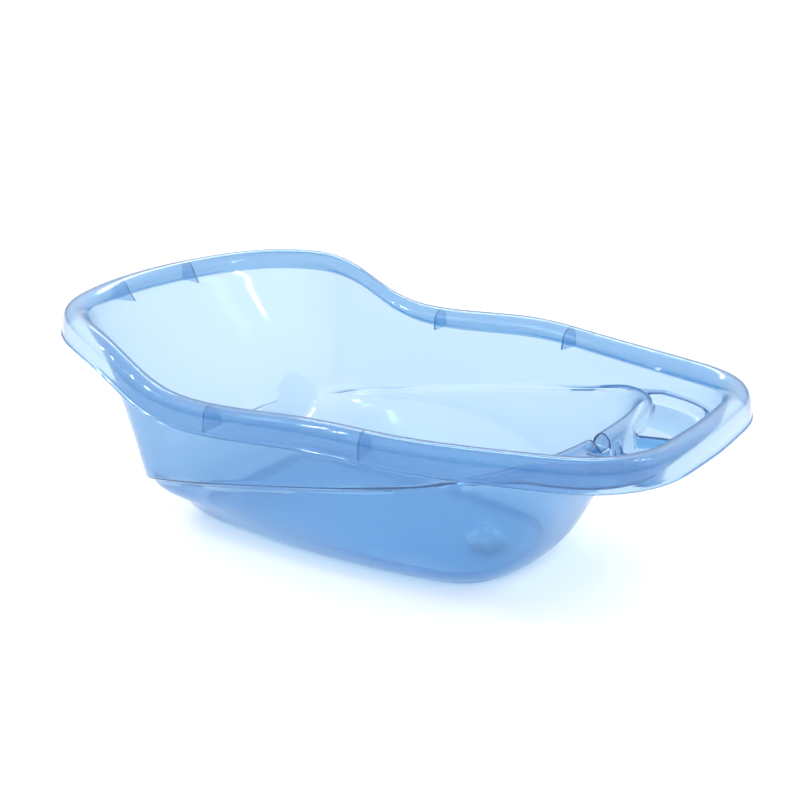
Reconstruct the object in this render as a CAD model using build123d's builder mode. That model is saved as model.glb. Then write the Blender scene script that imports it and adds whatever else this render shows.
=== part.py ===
"""Baby bathtub: one thin-walled translucent moulding with a fitted drain and a lift-out plug.

Frame: +X from the backrest to the foot end, +Z up, origin on the floor under the middle of the tub.
All sizes are in millimetres.
"""
import os

from build123d import *

# ---------------------------------------------------------------- driving dimensions
WALL = 3.0                   # moulded wall thickness
FAR = 460.0                  # reach of the trimming solids, beyond the tub on every side

# Basin edge: half of its plan outline, from the middle of the backrest to the middle of the foot end
EDGE_PLAN = [
    (-377, 0), (-374, 47), (-361, 105), (-331, 166), (-268, 207), (-195, 218), (-100, 220), (0, 219),
    (89, 213), (191, 194), (287, 167), (341, 143), (368, 105), (375, 55), (377, 0),
]
# Height of the basin edge along the tub: high round the backrest, an S drop, then low to the foot
EDGE_HEIGHT = [
    (-FAR, 254), (-302, 255), (-268, 252), (-232, 241), (-195, 222), (-155, 205), (-108, 198), (-59, 199),
    (-10, 203), (39, 207), (89, 208), (140, 206), (191, 205), (300, 206), (FAR, 208),
]
EDGE_TOP = 254.0             # height at which the outline above is the wall's true section at the head
SIDE_DRAFT = 0.10            # the side and foot walls lean out by this much per unit of height
SIDE_TOP = 205.0             # height at which the outline above is the wall's true section at the sides

# Upper wall where it meets the ledge: the backrest runs forward and its corners tighten
SEAT_HEIGHT = 84.0
SEAT_PLAN = [
    (-262, 0), (-260, 47), (-255, 105), (-246, 158), (-224, 191), (-180, 203), (-98, 208), (0, 207),
    (88, 201), (186, 182), (280, 156), (332, 133), (356, 98), (363, 52), (365, 0),
]
BASIN_OVERRUN = 30.0         # the basin block carries on this far above the head's edge
BASIN_UNDERRUN = 40.0        # and this far below the seat, where the ledge cuts it off

# Rolled rim
RIM_REACH = 31.0             # from the basin edge out to the face of the skirt
CROWN_RISE = 12.0            # crown above the basin edge
SKIRT_DROP = 19.5            # skirt below the basin edge
LIP_REACH = 2.5              # small turned-out lip at the foot of the skirt
LIP_HEIGHT = 3.0
RIB_THICKNESS = 2.0
RIB_STATIONS = (-83.0, 118.0)   # webs under the rim on both sides
HEAD_RIB_OFFSET = 59.0       # two more under the rim at the head, this far off the middle

# Ledge round the bowl: a plane that climbs from the seat to the dam at the foot end
LEDGE_HEIGHT = 124.0         # at the origin
LEDGE_SLOPE = 0.2066
DECK_HEIGHT = 181.0          # top of the level deck at the foot end

# Lower bowl: half of its mouth on the ledge plane, its belly and its floor
MOUTH_PLAN = [
    (-248, 0), (-248, 90), (-240, 156), (-212, 188), (-150, 200), (-86, 206), (0, 207), (80, 202),
    (160, 186), (215, 165), (250, 134), (268, 90), (275, 45), (276, 0),
]
BELLY_HEIGHT = 45.0
BELLY_PLAN = [
    (-244, 0), (-243, 70), (-236, 125), (-206, 154), (-150, 166), (-86, 172), (0, 172), (72, 166),
    (140, 150), (182, 130), (206, 104), (220, 72), (226, 36), (227, 0),
]
FLOOR_HEIGHT = 10.0          # underside of the floor above the ground
FLOOR_PLAN = [
    (-238, 0), (-237, 60), (-231, 98), (-205, 118), (-150, 127), (-86, 130), (0, 128), (66, 120),
    (126, 110), (160, 97), (180, 79), (192, 54), (198, 27), (199, 0),
]
FOOT_RING_INSET = 11.0       # foot ring inside the edge of the floor

# Tray in the deck, behind a dam along the bowl's mouth, with a deeper ribbed soap dish in its floor
DAM_WIDTH = 16.0
TRAY_MIDDLE = (310.0, 45.0)
TRAY_SIZE = (110.0, 224.0)
TRAY_RADIUS = 14.0
TRAY_FLOOR = 168.0
TRAY_MARGIN = 10.0           # the tray keeps this far inside the upper wall
DISH_MIDDLE = (310.0, -10.0)
DISH_SIZE = (90.0, 104.0)
DISH_RADIUS = 10.0
DISH_FLOOR = 156.0
DISH_MARGIN = 5.0            # the dish keeps this far inside the tray
DISH_RIBS = 4
DISH_RIB_MIDDLE = (308.0, -14.0)
DISH_RIB_PITCH = 17.0
DISH_RIB_LENGTH = 28.0
DISH_RIB_WIDTH = 4.0
DISH_RIB_HEIGHT = 8.0
NOTCH_Y = -38.0              # the dish drains into the bowl through a notch in the dam
NOTCH_WIDTH = 12.0
NOTCH_FLOOR = 172.0

# Drain
DRAIN_X = 135.0
HOLE_DIAMETER = 34.0
SPIGOT_DIAMETER = 33.4
BORE_DIAMETER = 27.0
FLANGE_DIAMETER = 50.0
FLANGE_THICKNESS = 3.0
SPIGOT_FOOT = 2.0            # the spigot ends this far above the ground
GASKET_DIAMETER = 47.0
GASKET_THICKNESS = 2.0
NUT_DIAMETER = 48.0
NUT_HEIGHT = 6.0
NUT_LOBES = 8
NUT_GRIP = 3.5               # radius of each grip lobe
PLUG_CLEARANCE = 0.4
PLUG_CAP_DIAMETER = 38.0
PLUG_CAP_THICKNESS = 3.0
PLUG_DEPTH = 11.0
PLUG_TAPER = 1.2             # how much the plug and its cap narrow towards their ends
TAB_WIDTH = 18.0
TAB_HEIGHT = 16.0
TAB_THICKNESS = 4.0
TAB_HOLE = 8.0

FLOOR_TOP = FLOOR_HEIGHT + WALL
LEDGE_PLANE = Plane(origin=(0, 0, LEDGE_HEIGHT), x_dir=(1, 0, LEDGE_SLOPE), z_dir=(-LEDGE_SLOPE, 0, 1))
LEDGE_STRETCH = (1 + LEDGE_SLOPE**2) ** 0.5


def grown(points, amount, along=1.0):
    """The half outline moved out by amount, and stretched along X where its plane is tilted."""
    half_length = (points[-1][0] - points[0][0]) / 2
    middle = (points[-1][0] + points[0][0]) / 2
    half_width = max(y for _, y in points)
    longer = 1 + amount / half_length
    wider = 1 + amount / half_width
    return [((middle + (x - middle) * longer) * along, y * wider) for x, y in points]


def outline(plane, points):
    """A closed sketch on plane: a smooth curve through the half outline, and its mirror image."""
    with BuildSketch(plane) as sketch:
        with BuildLine():
            Spline(*points, tangents=[(0, 1), (0, -1)])
            mirror(about=Plane.XZ)
        make_face()
    return sketch.sketch


def at_height(z):
    return Plane.XY.offset(z)


def edge_slab(low, high):
    """Everything between two copies of the basin edge's side profile, low and high above it."""
    with BuildPart() as slab:
        with BuildSketch(Plane.XZ):
            with BuildLine():
                Spline(*[(x, z + high) for x, z in EDGE_HEIGHT])
                Line((FAR, EDGE_HEIGHT[-1][1] + high), (FAR, EDGE_HEIGHT[-1][1] + low))
                Spline(*[(x, z + low) for x, z in reversed(EDGE_HEIGHT)])
                Line((-FAR, EDGE_HEIGHT[0][1] + low), (-FAR, EDGE_HEIGHT[0][1] + high))
            make_face()
        extrude(amount=FAR, both=True)
    return slab.part


def below_ledge(drop, deck=None):
    """Everything under the ledge plane lowered by drop, and under a level deck where one is given."""
    left = LEDGE_HEIGHT - drop - LEDGE_SLOPE * FAR
    right = LEDGE_HEIGHT - drop + LEDGE_SLOPE * FAR
    points = [(-FAR, -FAR), (-FAR, left), (FAR, right), (FAR, -FAR)]
    if deck is not None:
        knee = (deck - LEDGE_HEIGHT + drop) / LEDGE_SLOPE
        points = [(-FAR, -FAR), (-FAR, left), (knee, deck), (FAR, deck), (FAR, -FAR)]
    with BuildPart() as below:
        with BuildSketch(Plane.XZ):
            with BuildLine():
                Polyline(*points, close=True)
            make_face()
        extrude(amount=FAR, both=True)
    return below.part


def between(seat, top, z):
    """The outline at height z on the straight walls that join the seat outline to the top one."""
    rise = (z - SEAT_HEIGHT) / (EDGE_TOP - SEAT_HEIGHT)
    return [(sx + (tx - sx) * rise, sy + (ty - sy) * rise) for (sx, sy), (tx, ty) in zip(seat, top)]


def upper_basin(growth):
    """The upper basin, open at the bottom, as a block that reaches above the rim."""
    lean = (EDGE_TOP - SIDE_TOP) * SIDE_DRAFT
    top = grown(EDGE_PLAN, growth + lean)
    seat = grown(SEAT_PLAN, growth)
    low = SEAT_HEIGHT - BASIN_UNDERRUN
    high = EDGE_TOP + BASIN_OVERRUN
    with BuildPart() as basin:
        add(outline(at_height(low), between(seat, top, low)))
        add(outline(at_height(high), between(seat, top, high)))
        loft(ruled=True)
    return basin.part


def lower_bowl(growth, bottom):
    """The bowl from its floor at bottom up to its mouth on the ledge plane."""
    with BuildPart() as bowl:
        add(outline(at_height(bottom), grown(FLOOR_PLAN, growth - WALL)))
        add(outline(at_height(BELLY_HEIGHT), grown(BELLY_PLAN, growth)))
        add(outline(LEDGE_PLANE, grown(MOUTH_PLAN, growth, LEDGE_STRETCH)))
        loft()
    return bowl.part


def prism(points, low, high):
    """A straight block with the given half outline, from low to high."""
    with BuildPart() as block:
        add(outline(at_height(low), points))
        extrude(amount=high - low)
    return block.part


def tray(middle, size, radius, margin, growth, low, high):
    """A rounded tray block, kept inside the upper wall and behind the dam."""
    with BuildPart() as block:
        with BuildSketch(at_height(low)):
            with Locations(middle):
                RectangleRounded(size[0] + 2 * growth, size[1] + 2 * growth, radius + growth)
        extrude(amount=high - low)
        add(prism(grown(SEAT_PLAN, growth - TRAY_MARGIN - margin), low - 1, high + 1), mode=Mode.INTERSECT)
        add(prism(grown(MOUTH_PLAN, DAM_WIDTH + margin - growth), low - 1, high + 1), mode=Mode.SUBTRACT)
    return block.part


# ---------------------------------------------------------------- tub shell
RIM_LOW = EDGE_TOP - 100
RIM_HIGH = EDGE_TOP + 25
DECK_UNDER = DECK_HEIGHT - WALL
TRAY_PLAN = (TRAY_MIDDLE, TRAY_SIZE, TRAY_RADIUS)
DISH_PLAN = (DISH_MIDDLE, DISH_SIZE, DISH_RADIUS)

with BuildPart() as room:
    add(upper_basin(0))
    add(below_ledge(0, DECK_HEIGHT), mode=Mode.SUBTRACT)

with BuildPart() as bowl_wall:
    add(lower_bowl(WALL, FLOOR_HEIGHT))
    add(lower_bowl(0, FLOOR_TOP), mode=Mode.SUBTRACT)

with BuildPart() as tray_walls:
    add(tray(*TRAY_PLAN, 0, WALL, TRAY_FLOOR - WALL, DECK_HEIGHT))
    add(tray(*DISH_PLAN, DISH_MARGIN, WALL, DISH_FLOOR - WALL, TRAY_FLOOR))
    with Locations((MOUTH_PLAN[-1][0] + DAM_WIDTH / 2, NOTCH_Y, TRAY_FLOOR)):
        Box(DAM_WIDTH, NOTCH_WIDTH + 2 * WALL, DAM_WIDTH, align=(Align.CENTER, Align.CENTER, Align.MIN))
    add(below_ledge(WALL / 2, DECK_HEIGHT - WALL / 2), mode=Mode.INTERSECT)

with BuildPart() as notch:
    with Locations((MOUTH_PLAN[-1][0] + DAM_WIDTH / 2, NOTCH_Y, NOTCH_FLOOR)):
        Box(2 * DAM_WIDTH, NOTCH_WIDTH, DAM_WIDTH, align=(Align.CENTER, Align.CENTER, Align.MIN))

with BuildPart() as dish_ribs:
    rib_x, rib_y = DISH_RIB_MIDDLE
    with Locations((rib_x, rib_y, DISH_FLOOR + DISH_RIB_HEIGHT / 2 - WALL / 2)):
        with GridLocations(0, DISH_RIB_PITCH, 1, DISH_RIBS):
            Box(DISH_RIB_LENGTH, DISH_RIB_WIDTH, DISH_RIB_HEIGHT + WALL)

with BuildPart() as rim_hollow:
    add(prism(grown(EDGE_PLAN, RIM_REACH - WALL), RIM_LOW - 1, RIM_HIGH))
    add(edge_slab(CROWN_RISE - WALL, FAR), mode=Mode.SUBTRACT)

with BuildPart() as lip:
    add(prism(grown(EDGE_PLAN, RIM_REACH + LIP_REACH), RIM_LOW, RIM_HIGH))
    add(prism(grown(EDGE_PLAN, RIM_REACH - WALL / 2), RIM_LOW - 1, RIM_HIGH + 1), mode=Mode.SUBTRACT)
    add(edge_slab(-SKIRT_DROP, LIP_HEIGHT - SKIRT_DROP), mode=Mode.INTERSECT)

with BuildPart() as rim:
    add(prism(grown(EDGE_PLAN, RIM_REACH), RIM_LOW, RIM_HIGH))
    add(edge_slab(-FAR, -SKIRT_DROP), mode=Mode.SUBTRACT)
    add(rim_hollow.part, mode=Mode.SUBTRACT)
    add(upper_basin(WALL / 2), mode=Mode.SUBTRACT)
    add(lip.part)

with BuildPart() as ribs:
    with Locations([(x, 0, EDGE_TOP) for x in RIB_STATIONS]):
        Box(RIB_THICKNESS, 2 * FAR, FAR)
    with Locations([(-FAR, y, EDGE_TOP) for y in (-HEAD_RIB_OFFSET, HEAD_RIB_OFFSET)]):
        Box(FAR, RIB_THICKNESS, FAR)
    add(prism(grown(EDGE_PLAN, RIM_REACH - WALL / 2), RIM_LOW, RIM_HIGH), mode=Mode.INTERSECT)
    add(upper_basin(WALL / 2), mode=Mode.SUBTRACT)
    add(edge_slab(WALL - SKIRT_DROP, CROWN_RISE - WALL / 2), mode=Mode.INTERSECT)

with BuildPart() as foot_ring:
    add(prism(grown(FLOOR_PLAN, -FOOT_RING_INSET), 0, FLOOR_HEIGHT + WALL / 2))
    add(prism(grown(FLOOR_PLAN, -FOOT_RING_INSET - WALL), -1, FLOOR_TOP), mode=Mode.SUBTRACT)

with BuildPart() as tub_shell:
    add(upper_basin(WALL))
    add(below_ledge(WALL, DECK_UNDER), mode=Mode.SUBTRACT)
    add(room.part, mode=Mode.SUBTRACT)
    add(lower_bowl(0, FLOOR_TOP), mode=Mode.SUBTRACT)
    add(bowl_wall.part)
    add(tray_walls.part)
    add(tray(*TRAY_PLAN, 0, 0, TRAY_FLOOR, EDGE_TOP), mode=Mode.SUBTRACT)
    add(tray(*DISH_PLAN, DISH_MARGIN, 0, DISH_FLOOR, EDGE_TOP), mode=Mode.SUBTRACT)
    add(dish_ribs.part)
    add(notch.part, mode=Mode.SUBTRACT)
    add(rim.part)
    add(ribs.part)
    add(foot_ring.part)
    add(edge_slab(CROWN_RISE, FAR), mode=Mode.SUBTRACT)
    with Locations((DRAIN_X, 0, FLOOR_TOP)):
        Hole(HOLE_DIAMETER / 2, FLOOR_TOP)
tub_shell.part.label = "tub_shell"

# ---------------------------------------------------------------- drain
GASKET_TOP = FLOOR_TOP + GASKET_THICKNESS
FLANGE_TOP = GASKET_TOP + FLANGE_THICKNESS

with BuildPart() as drain_gasket:
    with BuildSketch(at_height(FLOOR_TOP)):
        with Locations((DRAIN_X, 0)):
            Circle(GASKET_DIAMETER / 2)
            Circle(SPIGOT_DIAMETER / 2, mode=Mode.SUBTRACT)
    extrude(amount=GASKET_THICKNESS)
drain_gasket.part.label = "drain_gasket"

with BuildPart() as drain_body:
    with Locations((DRAIN_X, 0, GASKET_TOP)):
        Cylinder(FLANGE_DIAMETER / 2, FLANGE_THICKNESS, align=(Align.CENTER, Align.CENTER, Align.MIN))
    with Locations((DRAIN_X, 0, SPIGOT_FOOT)):
        Cylinder(SPIGOT_DIAMETER / 2, GASKET_TOP - SPIGOT_FOOT, align=(Align.CENTER, Align.CENTER, Align.MIN))
    chamfer(drain_body.edges().filter_by(GeomType.CIRCLE).group_by(Axis.Z)[-1], FLANGE_THICKNESS / 3)
    with Locations((DRAIN_X, 0, FLANGE_TOP)):
        Hole(BORE_DIAMETER / 2, FLANGE_TOP)
drain_body.part.label = "drain_body"

with BuildPart() as drain_nut:
    with BuildSketch(at_height(FLOOR_HEIGHT - NUT_HEIGHT)):
        with Locations((DRAIN_X, 0)):
            Circle(NUT_DIAMETER / 2 - NUT_GRIP)
            with PolarLocations(NUT_DIAMETER / 2 - NUT_GRIP, NUT_LOBES):
                Circle(NUT_GRIP)
            Circle(SPIGOT_DIAMETER / 2, mode=Mode.SUBTRACT)
    extrude(amount=NUT_HEIGHT)
drain_nut.part.label = "drain_nut"

PLUG_BOTTOM = FLANGE_TOP - PLUG_DEPTH
CAP_UNDER = FLANGE_TOP + PLUG_CLEARANCE
CAP_TOP = CAP_UNDER + PLUG_CAP_THICKNESS
DRAIN_SECTION = Plane(origin=(DRAIN_X, 0, 0), x_dir=(1, 0, 0), z_dir=(0, -1, 0))

with BuildPart() as drain_plug:
    with BuildSketch(DRAIN_SECTION):
        with BuildLine():
            Polyline(
                (0, PLUG_BOTTOM),
                (BORE_DIAMETER / 2 - PLUG_CLEARANCE - PLUG_TAPER, PLUG_BOTTOM),
                (BORE_DIAMETER / 2 - PLUG_CLEARANCE, CAP_UNDER),
                (PLUG_CAP_DIAMETER / 2, CAP_UNDER),
                (PLUG_CAP_DIAMETER / 2 - PLUG_TAPER, CAP_TOP),
                (0, CAP_TOP),
                close=True,
            )
        make_face()
    revolve(axis=Axis((DRAIN_X, 0, 0), (0, 0, 1)))
    with BuildSketch(DRAIN_SECTION):
        with Locations((0, CAP_TOP - WALL / 2)):
            Rectangle(TAB_WIDTH, TAB_HEIGHT - TAB_WIDTH / 2, align=(Align.CENTER, Align.MIN))
        with Locations((0, CAP_TOP - WALL / 2 + TAB_HEIGHT - TAB_WIDTH / 2)):
            Circle(TAB_WIDTH / 2)
            Circle(TAB_HOLE / 2, mode=Mode.SUBTRACT)
    extrude(amount=TAB_THICKNESS / 2, both=True)
drain_plug.part.label = "drain_plug"

os.makedirs("parts", exist_ok=True)
for piece in (tub_shell, drain_gasket, drain_body, drain_nut, drain_plug):
    export_step(piece.part, f"parts/{piece.part.label}.step")
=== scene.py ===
import math

import bmesh
import bpy
import numpy as np
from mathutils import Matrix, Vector


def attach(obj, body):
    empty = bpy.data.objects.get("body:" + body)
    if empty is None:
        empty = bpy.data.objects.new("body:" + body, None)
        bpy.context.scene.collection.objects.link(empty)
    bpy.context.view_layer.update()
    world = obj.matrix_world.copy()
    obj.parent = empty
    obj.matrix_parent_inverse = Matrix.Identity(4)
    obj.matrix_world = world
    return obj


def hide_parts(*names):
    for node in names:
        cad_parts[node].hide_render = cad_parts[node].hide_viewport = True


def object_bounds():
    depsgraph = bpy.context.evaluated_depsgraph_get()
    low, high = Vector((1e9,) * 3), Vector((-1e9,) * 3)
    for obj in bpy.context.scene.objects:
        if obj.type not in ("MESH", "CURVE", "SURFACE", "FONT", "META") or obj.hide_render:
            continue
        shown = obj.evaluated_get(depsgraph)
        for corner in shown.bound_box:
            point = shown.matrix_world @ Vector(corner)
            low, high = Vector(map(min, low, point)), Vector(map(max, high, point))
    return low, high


# Baby bathtub: a thin-walled translucent moulding with a fitted drain and a lift-out plug.
# Metres throughout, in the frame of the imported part: +X to the foot end, +Z up.

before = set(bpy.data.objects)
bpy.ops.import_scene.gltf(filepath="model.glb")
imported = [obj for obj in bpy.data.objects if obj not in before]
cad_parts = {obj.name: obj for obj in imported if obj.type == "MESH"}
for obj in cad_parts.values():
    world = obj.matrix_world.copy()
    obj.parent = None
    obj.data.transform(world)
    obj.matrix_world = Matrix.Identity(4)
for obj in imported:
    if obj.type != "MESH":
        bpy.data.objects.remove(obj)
cad_low, cad_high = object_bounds()

# ---------------------------------------------------------------- shape of the moulding
WALL = 0.003
EDGE_PLAN = [
    (-0.377, 0), (-0.374, 0.047), (-0.361, 0.105), (-0.331, 0.166), (-0.268, 0.207), (-0.195, 0.218),
    (-0.100, 0.220), (0, 0.219), (0.089, 0.213), (0.191, 0.194), (0.287, 0.167), (0.341, 0.143),
    (0.368, 0.105), (0.375, 0.055), (0.377, 0),
]
EDGE_HEIGHT = [
    (-0.460, 0.254), (-0.302, 0.255), (-0.268, 0.252), (-0.232, 0.241), (-0.195, 0.222), (-0.155, 0.205),
    (-0.108, 0.198), (-0.059, 0.199), (-0.010, 0.203), (0.039, 0.207), (0.089, 0.208), (0.140, 0.206),
    (0.191, 0.205), (0.300, 0.206), (0.460, 0.208),
]
SEAT_HEIGHT = 0.084
SEAT_PLAN = [
    (-0.262, 0), (-0.260, 0.047), (-0.255, 0.105), (-0.246, 0.158), (-0.224, 0.191), (-0.180, 0.203),
    (-0.098, 0.208), (0, 0.207), (0.088, 0.201), (0.186, 0.182), (0.280, 0.156), (0.332, 0.133),
    (0.356, 0.098), (0.363, 0.052), (0.365, 0),
]
MOUTH_PLAN = [
    (-0.248, 0), (-0.248, 0.090), (-0.240, 0.156), (-0.212, 0.188), (-0.150, 0.200), (-0.086, 0.206),
    (0, 0.207), (0.080, 0.202), (0.160, 0.186), (0.215, 0.165), (0.250, 0.134), (0.268, 0.090),
    (0.275, 0.045), (0.276, 0),
]
BELLY_HEIGHT = 0.045
BELLY_PLAN = [
    (-0.244, 0), (-0.243, 0.070), (-0.236, 0.125), (-0.206, 0.154), (-0.150, 0.166), (-0.086, 0.172),
    (0, 0.172), (0.072, 0.166), (0.140, 0.150), (0.182, 0.130), (0.206, 0.104), (0.220, 0.072),
    (0.226, 0.036), (0.227, 0),
]
FLOOR_HEIGHT = 0.010
FLOOR_PLAN = [
    (-0.238, 0), (-0.237, 0.060), (-0.231, 0.098), (-0.205, 0.118), (-0.150, 0.127), (-0.086, 0.130),
    (0, 0.128), (0.066, 0.120), (0.126, 0.110), (0.160, 0.097), (0.180, 0.079), (0.192, 0.054),
    (0.198, 0.027), (0.199, 0),
]
FLOOR_TOP = FLOOR_HEIGHT + WALL
MOUTH_LEAN = 0.22            # the bowl's wall leans out this much for each unit up where it meets its mouth
# Section of the ring the tub stands on: how far inside the floor's outline, and the height
FOOT_RING = [
    (0.0110, 0.010), (0.0112, 0.0012), (0.0119, 0), (0.0133, 0), (0.0140, 0.0012), (0.0142, 0.010),
]

# A FADE is the width over which a feature starts or ends
LEDGE_HEIGHT = 0.124         # the ledge plane's height at x = 0
LEDGE_SLOPE = 0.2066
HEAD_CREASE = 0.0145         # the crease at the foot of the backrest stands this far above the ledge plane
HEAD_CREASE_X = -0.205       # the head side of this line is raised
HEAD_CREASE_X_FADE = 0.035
HEAD_CREASE_REACH = 0.185    # to either side of the middle
HEAD_CREASE_REACH_FADE = 0.115
NARROW_WIDTH = 0.014         # a ledge narrower than this is a soft slope
NARROW_FADE = 0.008
NARROW_FALL = 0.0040         # and it falls this far towards the bowl
MOUTH_ROUND = 0.0016         # the bowl's edge is rounded off by this depth, over this width
MOUTH_ROUND_WIDTH = 0.004
DECK_HEIGHT = 0.181
BEAD_WIDTH = 0.018           # rounded dam along the bowl's mouth at the foot end
BEAD_RISE = 0.0055
BEAD_X = 0.165               # where it starts
BEAD_X_FADE = 0.06
# "side" is the width over which a tray's side falls to its floor
TRAY = {
    "middle": (0.310, 0.045), "size": (0.110, 0.224), "radius": 0.014,
    "floor": 0.168, "turn": 0.0, "side": 0.0055,
}
DISH = {
    "middle": (0.310, -0.010), "size": (0.090, 0.104), "radius": 0.009,
    "floor": 0.155, "turn": 0.31, "side": 0.0046,
}
TRAY_MARGIN = 0.010          # the tray keeps this far inside the upper wall
DISH_MARGIN = 0.003          # and the dish this far inside the tray
WALL_BLEND = 0.006           # rounds the trays' corners with the upper wall
BEAD_BLEND = 0.003           # and with the dam
DISH_RIBS = 4
DISH_RIB_MIDDLE = (0.314, -0.014)
DISH_RIB_PITCH = 0.0125
DISH_RIB_LENGTH = 0.026
DISH_RIB_REACH = DISH_RIB_LENGTH / 2 + 0.002             # from its middle to the end of its slope
DISH_RIB_HALF_WIDTH = 0.0045 / 2 + 0.001                 # with its rounded side
DISH_RIB_TOP = 0.1625        # at the dam; each rib slopes down to its far end
DISH_RIB_END = 0.1575
DISH_RIB_END_FADE = 0.005
DISH_RIB_SIDE_FADE = 0.0025
NOTCH_Y = -0.031             # the notch in the dam by which the dish drains
NOTCH_HALF_WIDTH = 0.020 / 2 + 0.003                     # with its rounded side
NOTCH_FLOOR = 0.173
NOTCH_SIDE_FADE = 0.006
NOTCH_REACH = 0.008          # past the dam
NOTCH_REACH_FADE = 0.004
NOTCH_X = 0.25               # only the foot side of this line is cut

# Section of the rolled rim, outward and up from the basin edge, ending at the foot of the skirt
RIM_SECTION = [
    (-0.0002, -0.0028), (0.0004, 0.0004), (0.0022, 0.0038), (0.0052, 0.0072), (0.0090, 0.0098),
    (0.0135, 0.0114), (0.0180, 0.0119), (0.0222, 0.0112), (0.0258, 0.0090), (0.0284, 0.0052),
    (0.0300, 0.0005), (0.0308, -0.0050), (0.0311, -0.0105), (0.0313, -0.0142), (0.0318, -0.0160),
    (0.0330, -0.0168), (0.0337, -0.0178), (0.0338, -0.0194),
]
LIP_RINGS = 3                # the last points of the section are the lip at the skirt's foot

# Webs under the rim; each stands at the point of the basin edge that is nearest to its x and y
SIDE_WEB_X = {1: (-0.083, 0.118), -1: (-0.074, 0.127)}   # on the far side and on the near side
SIDE_WEB_Y = 0.22
HEAD_WEB_Y = 0.059
WEB_THICKNESS = 0.002
WEB_DEPTH = 0.016            # below the basin edge
WEB_OVERLAP = 0.2            # a web reaches this share of the wall's thickness into it

DRAIN_X = 0.135
HOLE_RADIUS = 0.017

# How finely the mesh is laid out: steps round the tub, and rings from the drain out to the rim
COARSE_STEP = 0.007
FOOT_STEP = 0.0032
FOOT_X = 0.20                # the foot end's step starts here
FOOT_X_FADE = 0.06
DISH_STEP = 0.0015
DISH_X = 0.345               # and the step beside the dish here
DISH_X_FADE = 0.01
OUTLINE_POINTS = 4001
HEIGHT_POINTS = 2001
FLOOR_RINGS = 9
BOWL_RINGS = 9
DECK_RINGS = 50
WALL_RINGS = 11
WALL_RING_POWER = 1.15       # above 1, the upper wall's rings crowd towards its foot
LEDGE_ROUNDS = 3             # how often the outer skin's normals are evened out
NARROW_ROUNDS = 36           # and where the ledge is narrow
SHARP_ANGLE = math.radians(52)


def smooth(t):
    """0 up to t = 0, 1 from t = 1, and an S-curve between."""
    t = np.clip(t, 0, 1)
    return t * t * (3 - 2 * t)


def spline(points, closed, count):
    """count points along a cubic spline through points, spaced by chord length."""
    p = np.array(points, float)
    if closed:
        p = np.vstack([p, p[:1]])
    n = len(p)
    t = np.concatenate([[0], np.cumsum(np.linalg.norm(np.diff(p, axis=0), axis=1))])
    h = np.diff(t)
    a = np.zeros((n, n))
    b = np.zeros((n, p.shape[1]))
    for i in range(1, n - 1):
        a[i, i - 1], a[i, i], a[i, i + 1] = h[i - 1], 2 * (h[i - 1] + h[i]), h[i]
        b[i] = 6 * ((p[i + 1] - p[i]) / h[i] - (p[i] - p[i - 1]) / h[i - 1])
    if closed:
        a[0, 0], a[0, -1] = 1, -1
        a[-1, 0], a[-1, 1] = 2 * h[0], h[0]
        a[-1, -2], a[-1, -1] = h[-1], 2 * h[-1]
        b[-1] = 6 * ((p[1] - p[0]) / h[0] - (p[-1] - p[-2]) / h[-1])
    else:
        a[0, 0] = a[-1, -1] = 1
    m = np.linalg.solve(a, b)
    s = np.linspace(0, t[-1], count)
    i = np.clip(np.searchsorted(t, s, side="right") - 1, 0, n - 2)
    u, v, w = (s - t[i])[:, None], (t[i + 1] - s)[:, None], h[i][:, None]
    return (
        (m[i] * v**3 + m[i + 1] * u**3) / (6 * w)
        + (p[i] / w - m[i] * w / 6) * v
        + (p[i + 1] / w - m[i + 1] * w / 6) * u
    )


def closed_outline(half):
    """A dense closed outline from its half, starting at the middle of the head."""
    other = [(x, -y) for x, y in reversed(half[1:-1])]
    return spline(list(half) + other, True, OUTLINE_POINTS)[:-1]


def on_rays(curve, angles):
    """Where rays from the tub's middle at these angles cross the closed curve."""
    bearing = np.arctan2(curve[:, 1], curve[:, 0])
    order = np.argsort(bearing)
    reach = np.interp(angles, bearing[order], np.linalg.norm(curve, axis=1)[order], period=2 * math.pi)
    return reach[:, None] * np.stack([np.cos(angles), np.sin(angles)], 1)


def outward(ring):
    """Unit normals of a closed plan ring, pointing out."""
    along = np.roll(ring, -1, 0) - np.roll(ring, 1, 0)
    n = np.stack([along[:, 1], -along[:, 0]], 1)
    n /= np.linalg.norm(n, axis=1)[:, None]
    return n * np.sign((n * (ring - ring.mean(0))).sum(1).mean())


def raised(ring, z):
    """A plan ring at height z, which is one number or one for each point."""
    return np.column_stack([ring, np.broadcast_to(z, len(ring))])


# ---------------------------------------------------------------- rays round the tub
seat_curve = closed_outline(SEAT_PLAN)
step = np.linalg.norm(np.roll(seat_curve, -1, 0) - seat_curve, axis=1)
foot_side = smooth((seat_curve[:, 0] - FOOT_X) / FOOT_X_FADE)
dish_side = smooth((seat_curve[:, 0] - DISH_X) / DISH_X_FADE)
spacing = COARSE_STEP + (FOOT_STEP - COARSE_STEP) * foot_side + (DISH_STEP - FOOT_STEP) * dish_side
travelled = np.concatenate([[0], np.cumsum(step / spacing)])
RAYS = int(travelled[-1] / 2) * 2
chosen = np.interp(np.arange(RAYS) * travelled[-1] / RAYS, travelled, np.arange(len(travelled)))
bearings = np.unwrap(np.arctan2(seat_curve[:, 1], seat_curve[:, 0]))
ANGLES = np.interp(chosen, np.arange(len(seat_curve)), bearings)

seat = on_rays(seat_curve, ANGLES)
edge = on_rays(closed_outline(EDGE_PLAN), ANGLES)
mouth = on_rays(closed_outline(MOUTH_PLAN), ANGLES)
belly = on_rays(closed_outline(BELLY_PLAN), ANGLES)
floor_under = on_rays(closed_outline(FLOOR_PLAN), ANGLES)
floor_inner = floor_under - WALL * outward(floor_under)

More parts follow.
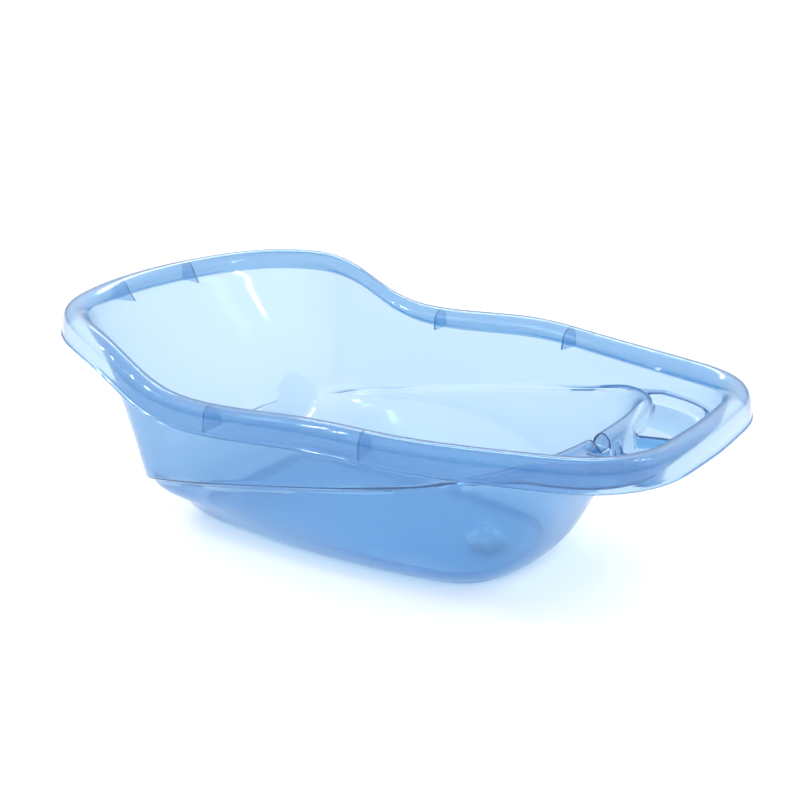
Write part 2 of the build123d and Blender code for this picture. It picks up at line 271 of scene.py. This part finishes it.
height_curve = spline(EDGE_HEIGHT, False, HEIGHT_POINTS)
edge_z = np.interp(edge[:, 0], height_curve[:, 0], height_curve[:, 1])


def ledge_plane(x):
    """Height of the ledge, which rises evenly to the foot end."""
    return LEDGE_HEIGHT + LEDGE_SLOPE * x


# The foot of the upper wall: on the ledge plane, level with the deck at the foot end, lifted at the head
at_head = smooth((HEAD_CREASE_X - seat[:, 0]) / HEAD_CREASE_X_FADE)
near_middle = smooth((HEAD_CREASE_REACH - np.abs(seat[:, 1])) / HEAD_CREASE_REACH_FADE)
head_lift = HEAD_CREASE * at_head * near_middle
foot_z = np.minimum(ledge_plane(seat[:, 0]), DECK_HEIGHT) + head_lift
rise = ((foot_z - SEAT_HEIGHT) / (edge_z - SEAT_HEIGHT))[:, None]
wall_foot = seat + (edge - seat) * rise
narrow = smooth((NARROW_WIDTH - np.linalg.norm(wall_foot - mouth, axis=1)) / NARROW_FADE)
mouth_z = ledge_plane(mouth[:, 0]) - NARROW_FALL * narrow


# ---------------------------------------------------------------- rings of the inner skin
def turned(x, y, middle, turn):
    """Plan points seen from middle, in axes turned by turn."""
    dx, dy = x - middle[0], y - middle[1]
    return dx * math.cos(turn) + dy * math.sin(turn), dy * math.cos(turn) - dx * math.sin(turn)


def rounded_rectangle(x, y, tray):
    """Signed distance to a rounded rectangle, negative inside."""
    dx, dy = turned(x, y, tray["middle"], tray["turn"])
    qx = np.abs(dx) - tray["size"][0] / 2 + tray["radius"]
    qy = np.abs(dy) - tray["size"][1] / 2 + tray["radius"]
    outside = np.hypot(np.maximum(qx, 0), np.maximum(qy, 0))
    return outside + np.minimum(np.maximum(qx, qy), 0) - tray["radius"]


def smooth_max(a, b, k):
    """The larger of a and b, with the change from one to the other rounded over k."""
    h = np.clip(0.5 + 0.5 * (a - b) / k, 0, 1)
    return b + (a - b) * h + k * h * (1 - h)


def deck_height(p, past_mouth, to_wall, lift):
    """Height of the ledge and the deck over plan points p."""
    x, y = p[:, 0], p[:, 1]
    level = np.minimum(ledge_plane(x), DECK_HEIGHT)
    crown = np.clip(1 - ((past_mouth - BEAD_WIDTH / 2) / (BEAD_WIDTH / 2)) ** 2, 0, 1)
    z = level + lift + BEAD_RISE * crown * smooth((x - BEAD_X) / BEAD_X_FADE)
    for tray, margin in ((TRAY, 0), (DISH, DISH_MARGIN)):
        d = rounded_rectangle(x, y, tray)
        d = smooth_max(d, TRAY_MARGIN + margin - to_wall, WALL_BLEND)
        d = smooth_max(d, BEAD_WIDTH + margin - past_mouth, BEAD_BLEND)
        z = z + (np.minimum(tray["floor"], z) - z) * smooth(-d / tray["side"])
    ridge_x, ridge_y = turned(x, y, DISH_RIB_MIDDLE, DISH["turn"])
    along = smooth((DISH_RIB_REACH - np.abs(ridge_x)) / DISH_RIB_END_FADE)
    slope = np.clip(ridge_x / DISH_RIB_LENGTH + 0.5, 0, 1)
    rib_top = DISH_RIB_TOP + (DISH_RIB_END - DISH_RIB_TOP) * slope
    for k in range(DISH_RIBS):
        off = np.abs(ridge_y - (k - (DISH_RIBS - 1) / 2) * DISH_RIB_PITCH)
        across = smooth((DISH_RIB_HALF_WIDTH - off) / DISH_RIB_SIDE_FADE)
        z = z + (np.maximum(rib_top, z) - z) * across * along
    near_bead = smooth((BEAD_WIDTH + NOTCH_REACH - past_mouth) / NOTCH_REACH_FADE) * (x > NOTCH_X)
    cut = smooth((NOTCH_HALF_WIDTH - np.abs(y - NOTCH_Y)) / NOTCH_SIDE_FADE) * near_bead
    return z + (np.minimum(NOTCH_FLOOR, z) - z) * cut


def hermite(p0, m0, p1, m1, t):
    """The point at t of the cubic from p0, leaving along m0, to p1, arriving along m1."""
    return (
        (2 * t**3 - 3 * t**2 + 1) * p0 + (t**3 - 2 * t**2 + t) * m0
        + (3 * t**2 - 2 * t**3) * p1 + (t**3 - t**2) * m1
    )


# Floor, from the drain's hole outwards
drain = np.array((DRAIN_X, 0))
from_drain = floor_inner - drain
drain_angles = np.arctan2(from_drain[:, 1], from_drain[:, 0])
hole = drain + HOLE_RADIUS * np.stack([np.cos(drain_angles), np.sin(drain_angles)], 1)
inner = []
for k in range(FLOOR_RINGS):
    inner.append(raised(hole + (floor_inner - hole) * (k / FLOOR_RINGS), FLOOR_TOP))

# Bowl, from the floor through the belly to the mouth
low = raised(floor_inner, FLOOR_TOP)
mid = raised(belly, BELLY_HEIGHT)
high = raised(mouth, mouth_z)
inward = np.column_stack([-outward(floor_under), np.zeros(RAYS)])
lower_chord = np.linalg.norm(mid - low, axis=1)[:, None]
upper_chord = np.linalg.norm(high - mid, axis=1)[:, None]
through = high - low
through /= np.linalg.norm(through, axis=1)[:, None]
up = np.column_stack([MOUTH_LEAN * outward(mouth), np.ones(RAYS)])
up /= np.linalg.norm(up, axis=1)[:, None]
for k in range(BOWL_RINGS):
    inner.append(hermite(low, -inward * lower_chord, mid, through * lower_chord, k / BOWL_RINGS))
for k in range(BOWL_RINGS):
    inner.append(hermite(mid, through * upper_chord, high, up * upper_chord, k / BOWL_RINGS))

# Ledge and deck, from the mouth to the foot of the upper wall
mouth_normal = outward(mouth)
wall_normal = outward(wall_foot)
span = ((wall_foot - mouth) * mouth_normal).sum(1)
for k in range(DECK_RINGS + 1):
    share = k / DECK_RINGS
    p = mouth + (wall_foot - mouth) * share
    past_mouth = ((p - mouth) * mouth_normal).sum(1)
    to_wall = ((wall_foot - p) * wall_normal).sum(1)
    lift = head_lift * smooth(past_mouth / np.maximum(span, 1e-6))
    z = deck_height(p, past_mouth, to_wall, lift)
    rounding = MOUTH_ROUND * smooth(1 - past_mouth / MOUTH_ROUND_WIDTH)
    inner.append(raised(p, z - rounding - NARROW_FALL * narrow * (1 - share)))

# Upper wall, then the rolled rim
wall_low = inner[-1]
wall_high = raised(edge, edge_z)
for k in range(1, WALL_RINGS):
    t = (k / WALL_RINGS) ** WALL_RING_POWER
    inner.append(wall_low + (wall_high - wall_low) * t)

edge_normal = outward(edge)
for out, rise_z in RIM_SECTION:
    inner.append(raised(edge + edge_normal * out, edge_z + rise_z))

inner = np.array(inner)


# ---------------------------------------------------------------- rings of the outer skin
def evened(normals, times):
    """Unit normals averaged with their neighbours along each ray, this many times."""
    for _ in range(times):
        inside = (normals[:-2] + 2 * normals[1:-1] + normals[2:]) / 4
        normals = np.concatenate([normals[:1], inside, normals[-1:]])
    return normals / np.linalg.norm(normals, axis=2)[:, :, None]


def skin_normals(rings):
    """Unit normals of a sheet of rings on the water's side, evened out more where the ledge is narrow."""
    round_tub = np.roll(rings, -1, 1) - np.roll(rings, 1, 1)
    along_ray = np.gradient(rings, axis=0)
    n = np.cross(along_ray, round_tub)
    n /= np.linalg.norm(n, axis=2)[:, :, None] + 1e-12
    n *= np.sign(n[0, :, 2].mean())
    share = narrow[None, :, None]
    n = evened(n, LEDGE_ROUNDS) * (1 - share) + evened(n, NARROW_ROUNDS) * share
    return n / np.linalg.norm(n, axis=2)[:, :, None]


outer = inner - WALL * skin_normals(inner)

# Underside, from the foot ring in to the drain's hole
ring_normal = outward(floor_under)
under = [raised(floor_under - ring_normal * inset, z) for inset, z in FOOT_RING]
inside_ring = under[-1]
under_hole = raised(hole, FLOOR_HEIGHT)
for k in range(1, FLOOR_RINGS):
    under.append(inside_ring + (under_hole - inside_ring) * (k / FLOOR_RINGS))
under.append(under_hole)

# The shell's whole surface: up the inside, over the rim, down the outside and in below the floor
rings = list(inner) + list(outer[:FLOOR_RINGS - 1:-1]) + under

# ---------------------------------------------------------------- webs under the rim
# Each fills the hollow between the wall, the crown and the skirt, down to the lip
first_ring = len(inner) - len(RIM_SECTION) - 1
web_rings = slice(first_ring, len(inner) - LIP_RINGS)
hollow = (1 - WEB_OVERLAP) * outer[web_rings] + WEB_OVERLAP * inner[web_rings]
down_wall = outer[first_ring - 1] - outer[first_ring]
drop = (hollow[0, :, 2] - edge_z + WEB_DEPTH) / -down_wall[:, 2]
hollow[0] = hollow[0] + down_wall * drop[:, None]


def nearest_ray(x, y):
    """The ray whose point on the basin's edge is nearest to x, y."""
    return int(np.argmin(np.hypot(edge[:, 0] - x, edge[:, 1] - y)))


def web(ray):
    """A thin plate across the rim's hollow at one ray: its points and faces."""
    along = np.array((-edge_normal[ray][1], edge_normal[ray][0], 0)) * WEB_THICKNESS / 2
    section = hollow[:, ray]
    count = len(section)
    front = tuple(range(count))
    back = tuple(range(2 * count - 1, count - 1, -1))
    sides = [(i, (i + 1) % count, (i + 1) % count + count, i + count) for i in range(count)]
    return np.vstack([section - along, section + along]), [front, back, *sides]


head_x = edge[:, 0].min()
web_rays = [nearest_ray(x, side * SIDE_WEB_Y) for side, places in SIDE_WEB_X.items() for x in places]
web_rays += [nearest_ray(head_x, side * HEAD_WEB_Y) for side in (-1, 1)]


def mesh_object(name, vertices, faces, material):
    """A smooth-shaded object with its faces turned outwards, in the scene."""
    mesh = bpy.data.meshes.new(name)
    mesh.from_pydata([tuple(v) for v in vertices], [], faces)
    bm = bmesh.new()
    bm.from_mesh(mesh)
    bmesh.ops.recalc_face_normals(bm, faces=bm.faces)
    bm.to_mesh(mesh)
    bm.free()
    mesh.shade_smooth()
    mesh.set_sharp_from_angle(angle=SHARP_ANGLE)
    mesh.materials.append(material)
    piece = bpy.data.objects.new(name, mesh)
    bpy.context.collection.objects.link(piece)
    return piece


# ---------------------------------------------------------------- materials
PAINTED_SHADE = "painted_shade"           # vertex attribute: 1 where the plastic's colour gets painted shade, its darkest blue
NOISE_LOW, NOISE_HIGH = 0.3, 0.7                         # nearly all of a noise texture's values

# The shell's plastic. Its haze is a share of scattered light, half sent back and half let through
SHELL_HAZE = 0.16
# The second tint is painted shade: the dark blue painted on the soap dish's far side
SHELL_TINT, SHELL_PAINTED_SHADE = (0.95, 0.98, 1.0), (0.05, 0.26, 0.62)
SENT_BACK, LET_THROUGH = (0.03, 0.23, 0.53), (0.04, 0.29, 0.60)
SHADOW_TINT = (0.99, 0.94, 0.89)
DEPTH_COLOUR, DEPTH_DENSITY = (0.01, 0.53, 0.82), 164    # what a depth of plastic takes from light
REFRACTION = 1.46
COAT, COAT_ROUGHNESS = 0.45, 0.035
SHELL_ROUGHNESS = (0.05, 0.11)
SHELL_BUMP, SHELL_BUMP_STRENGTH = 0.003, 0.18

# The drain's sheer plastics and silicone; each drifts between its two colours
BLUES = (0.42, 0.68, 0.92), (0.52, 0.76, 0.96)
MILKS = (0.80, 0.87, 0.93), (0.88, 0.92, 0.96)
DRIFT = (0.35, 0.65)         # the noise values of the first colour and of the second
PLASTIC_ROUGHNESS, NUT_ROUGHNESS, RUBBER_ROUGHNESS = (0.10, 0.22), (0.18, 0.32), (0.45, 0.65)
SHEER_BUMP, PLASTIC_BUMP_STRENGTH, RUBBER_BUMP_STRENGTH = 0.0004, 0.15, 0.4


def nodes_of(name):
    """A new material, its nodes and links, and its shader and output nodes."""
    material = bpy.data.materials.new(name)
    material.use_nodes = True
    nodes, links = material.node_tree.nodes, material.node_tree.links
    return material, nodes, links, nodes["Principled BSDF"], nodes["Material Output"]


def noise(nodes, links, scale, detail):
    """Noise that stays on the object."""
    where = nodes.new("ShaderNodeTexCoord")
    texture = nodes.new("ShaderNodeTexNoise")
    texture.inputs["Scale"].default_value = scale
    texture.inputs["Detail"].default_value = detail
    links.new(where.outputs["Object"], texture.inputs["Vector"])
    return texture.outputs["Fac"]


def spread(nodes, links, source, low, high):
    """Noise brought to the range low to high."""
    mapped = nodes.new("ShaderNodeMapRange")
    mapped.inputs["From Min"].default_value = NOISE_LOW
    mapped.inputs["From Max"].default_value = NOISE_HIGH
    mapped.inputs["To Min"].default_value = low
    mapped.inputs["To Max"].default_value = high
    links.new(source, mapped.inputs["Value"])
    return mapped.outputs["Result"]


def coloured(nodes, links, source, low, high, start=0.0, end=1.0):
    """Colour that goes from low to high as source goes from start to end."""
    ramp = nodes.new("ShaderNodeValToRGB")
    first, last = ramp.color_ramp.elements
    first.position = start
    first.color = (*low, 1)
    last.position = end
    last.color = (*high, 1)
    links.new(source, ramp.inputs["Fac"])
    return ramp.outputs["Color"]


def bumped(nodes, links, shader, source, distance, strength):
    """Small bumps on a shader's surface."""
    bump = nodes.new("ShaderNodeBump")
    bump.inputs["Distance"].default_value = distance
    bump.inputs["Strength"].default_value = strength
    links.new(source, bump.inputs["Height"])
    links.new(bump.outputs["Normal"], shader.inputs["Normal"])


def mixed(nodes, links, share, first, second):
    """A mix of two shaders; share, a number or a socket, is the second one's part."""
    mix = nodes.new("ShaderNodeMixShader")
    if isinstance(share, float):
        mix.inputs["Fac"].default_value = share
    else:
        links.new(share, mix.inputs["Fac"])
    links.new(first, mix.inputs[1])
    links.new(second, mix.inputs[2])
    return mix.outputs["Shader"]


def clear_plastic(name):
    """Tinted plastic, a little hazy: the tint of its volume grows with the depth that light passes through,
    and its colour carries painted shade where the shade attribute is set.
    """
    material, nodes, links, shader, output = nodes_of(name)
    # Painted shade: the base colour turns dark blue where the attribute marks it
    shade_mask = nodes.new("ShaderNodeAttribute")
    shade_mask.attribute_name = PAINTED_SHADE
    tint = coloured(nodes, links, shade_mask.outputs["Fac"], SHELL_TINT, SHELL_PAINTED_SHADE)
    links.new(tint, shader.inputs["Base Color"])
    shader.inputs["Transmission Weight"].default_value = 1.0
    shader.inputs["IOR"].default_value = REFRACTION
    shader.inputs["Coat Weight"].default_value = COAT
    shader.inputs["Coat Roughness"].default_value = COAT_ROUGHNESS
    patches = noise(nodes, links, scale=14, detail=3)
    links.new(spread(nodes, links, patches, *SHELL_ROUGHNESS), shader.inputs["Roughness"])
    waves = noise(nodes, links, scale=9, detail=2)
    bumped(nodes, links, shader, waves, SHELL_BUMP, SHELL_BUMP_STRENGTH)
    cloud = nodes.new("ShaderNodeBsdfDiffuse")
    cloud.inputs["Color"].default_value = (*SENT_BACK, 1)
    glow = nodes.new("ShaderNodeBsdfTranslucent")
    glow.inputs["Color"].default_value = (*LET_THROUGH, 1)
    milk = mixed(nodes, links, 0.5, cloud.outputs["BSDF"], glow.outputs["BSDF"])
    body = mixed(nodes, links, SHELL_HAZE, shader.outputs["BSDF"], milk)
    lets_light = nodes.new("ShaderNodeBsdfTransparent")
    lets_light.inputs["Color"].default_value = (*SHADOW_TINT, 1)
    path = nodes.new("ShaderNodeLightPath")
    surface = mixed(nodes, links, path.outputs["Is Shadow Ray"], body, lets_light.outputs["BSDF"])
    links.new(surface, output.inputs["Surface"])
    depth = nodes.new("ShaderNodeVolumeAbsorption")
    depth.inputs["Color"].default_value = (*DEPTH_COLOUR, 1)
    depth.inputs["Density"].default_value = DEPTH_DENSITY
    links.new(depth.outputs["Volume"], output.inputs["Volume"])
    return material


def sheer(name, colours, tint, solid, roughness, bump):
    """Thin see-through material: only the solid share of it shades, and its colour drifts a little."""
    material, nodes, links, shader, output = nodes_of(name)
    drift = noise(nodes, links, scale=60, detail=4)
    links.new(coloured(nodes, links, drift, *colours, *DRIFT), shader.inputs["Base Color"])
    patches = noise(nodes, links, scale=180, detail=3)
    links.new(spread(nodes, links, patches, *roughness), shader.inputs["Roughness"])
    grain = noise(nodes, links, scale=900, detail=2)
    bumped(nodes, links, shader, grain, SHEER_BUMP, bump)
    clear = nodes.new("ShaderNodeBsdfTransparent")
    clear.inputs["Color"].default_value = (*tint, 1)
    surface = mixed(nodes, links, solid, clear.outputs["BSDF"], shader.outputs["BSDF"])
    links.new(surface, output.inputs["Surface"])
    return material


def drain_plastic():
    return sheer(
        "blue_drain_plastic", BLUES, tint=(0.93, 0.97, 1), solid=0.16,
        roughness=PLASTIC_ROUGHNESS, bump=PLASTIC_BUMP_STRENGTH,
    )


def plug_plastic():
    return sheer(
        "blue_plug_plastic", BLUES, tint=(0.92, 0.97, 1), solid=0.36,
        roughness=PLASTIC_ROUGHNESS, bump=PLASTIC_BUMP_STRENGTH,
    )


def nut_plastic():
    return sheer(
        "clear_nut_plastic", MILKS, tint=(0.97, 0.99, 1), solid=0.14,
        roughness=NUT_ROUGHNESS, bump=PLASTIC_BUMP_STRENGTH,
    )


def seal_rubber():
    return sheer(
        "milky_silicone", MILKS, tint=(0.96, 0.98, 1), solid=0.22,
        roughness=RUBBER_ROUGHNESS, bump=RUBBER_BUMP_STRENGTH,
    )


# ---------------------------------------------------------------- shell
vertices = np.concatenate(rings)
faces = []
for r in range(len(rings)):
    a, b = r * RAYS, (r + 1) % len(rings) * RAYS
    for j in range(RAYS):
        k = (j + 1) % RAYS
        faces.append((a + j, a + k, b + k, b + j))
for ray in web_rays:
    points, sides = web(ray)
    faces += [tuple(len(vertices) + i for i in side) for side in sides]
    vertices = np.vstack([vertices, points])
shell = mesh_object("shell_moulding", vertices, faces, clear_plastic("blue_clear_plastic"))

DISH_SIDE_REACH, DISH_HEIGHT_REACH = 0.006, 0.001        # past the side's own line and heights
DISH_SIDE_LEAN = 0.35
DISH_SIDE_X = 0.27


def on_dish_far_side(vertex):
    """Whether a vertex is on the upright side of the soap dish that faces the near side of the tub."""
    x, y, z = vertex.co
    across = turned(x, y, DISH["middle"], DISH["turn"])[1]
    beside = abs(across - DISH["size"][1] / 2) < DISH_SIDE_REACH
    between = DISH["floor"] - DISH_HEIGHT_REACH < z < TRAY["floor"] + DISH_HEIGHT_REACH
    return bool(vertex.normal.y < -DISH_SIDE_LEAN and beside and between and x > DISH_SIDE_X)


# The soap dish's far side is painted the darkest blue: painted shade for the dark its wall shows when seen
# edge-on
painted_shade_share = shell.data.attributes.new(PAINTED_SHADE, "FLOAT", "POINT")
for i, vertex in enumerate(shell.data.vertices):
    painted_shade_share.data[i].value = float(on_dish_far_side(vertex))
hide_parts("tub_shell")
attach(shell, "tub")

# ---------------------------------------------------------------- drain
DRAIN_MATERIALS = {
    "drain_body": drain_plastic(),
    "drain_nut": nut_plastic(),
    "drain_gasket": seal_rubber(),
    "drain_plug": plug_plastic(),
}
for node, material in DRAIN_MATERIALS.items():
    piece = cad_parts[node]
    piece.data.materials.clear()
    piece.data.materials.append(material)

# ---------------------------------------------------------------- floor, light and camera
HALF_FLOOR = 30.0
FLOOR_GAP = 0.0002           # keeps the floor clear of the tub's foot ring
FLOOR_CORNERS = [(-1, -1), (1, -1), (1, 1), (-1, 1)]
paper, nodes, links, shader, _ = nodes_of("white_paper")
shader.inputs["Base Color"].default_value = (0.90, 0.905, 0.91, 1)
shader.inputs["Roughness"].default_value = 0.9
shader.inputs["Specular IOR Level"].default_value = 0.1
corners = [(x * HALF_FLOOR, y * HALF_FLOOR, 0) for x, y in FLOOR_CORNERS]
ground = mesh_object("ground", corners, [(0, 1, 2, 3)], paper)
ground.location.z = cad_low.z - FLOOR_GAP

# The studio's sides are dimmer than its ceiling
HORIZON, CEILING = (0.40, 0.40, 0.40), (1.74, 1.62, 1.55)
CEILING_START = 0.55         # how far up the ceiling's full light starts, from 0 to 1
world = bpy.data.worlds.new("studio")
world.use_nodes = True
sky = world.node_tree.nodes["Background"]
sky.inputs["Strength"].default_value = 1.0
nodes, links = world.node_tree.nodes, world.node_tree.links
direction = nodes.new("ShaderNodeTexCoord")
upward = nodes.new("ShaderNodeSeparateXYZ")
links.new(direction.outputs["Generated"], upward.inputs["Vector"])
light = coloured(nodes, links, upward.outputs["Z"], HORIZON, CEILING, 0.0, CEILING_START)
links.new(light, sky.inputs["Color"])
bpy.context.scene.world = world

LAMP_TARGET = Vector((0, 0, 0.1))


def softbox(name, place, size, power):
    """A lamp of this width and height, pointed at the tub."""
    data = bpy.data.lights.new(name, "AREA")
    data.shape = "RECTANGLE"
    data.size, data.size_y = size
    data.energy = power
    lamp = bpy.data.objects.new(name, data)
    lamp.location = place
    lamp.rotation_euler = (LAMP_TARGET - Vector(place)).to_track_quat("-Z", "Y").to_euler()
    bpy.context.collection.objects.link(lamp)


softbox("key", (-1.0, -1.25, 1.9), (0.10, 0.42), 5)
softbox("window", (-0.75, -1.45, 2.0), (0.06, 0.30), 3)
softbox("fill", (1.40, 0.52, 1.84), (0.11, 0.60), 4)
softbox("back", (-1.2, 1.8, 1.7), (1.3, 0.25), 6)

CAMERA_PLACE = (0.8473, -1.1958, 0.6714)
CAMERA_DIRECTION = Vector((-0.5412, 0.774, -0.3288))
camera = bpy.data.objects.new("camera", bpy.data.cameras.new("camera"))
camera.location = CAMERA_PLACE
camera.rotation_euler = CAMERA_DIRECTION.to_track_quat("-Z", "Y").to_euler()
camera.data.lens = 58.5
camera.data.sensor_width = 36
camera.data.clip_start, camera.data.clip_end = 0.02, 200
bpy.context.collection.objects.link(camera)
bpy.context.scene.camera = camera
bpy.context.scene.view_settings.view_transform = "Standard"
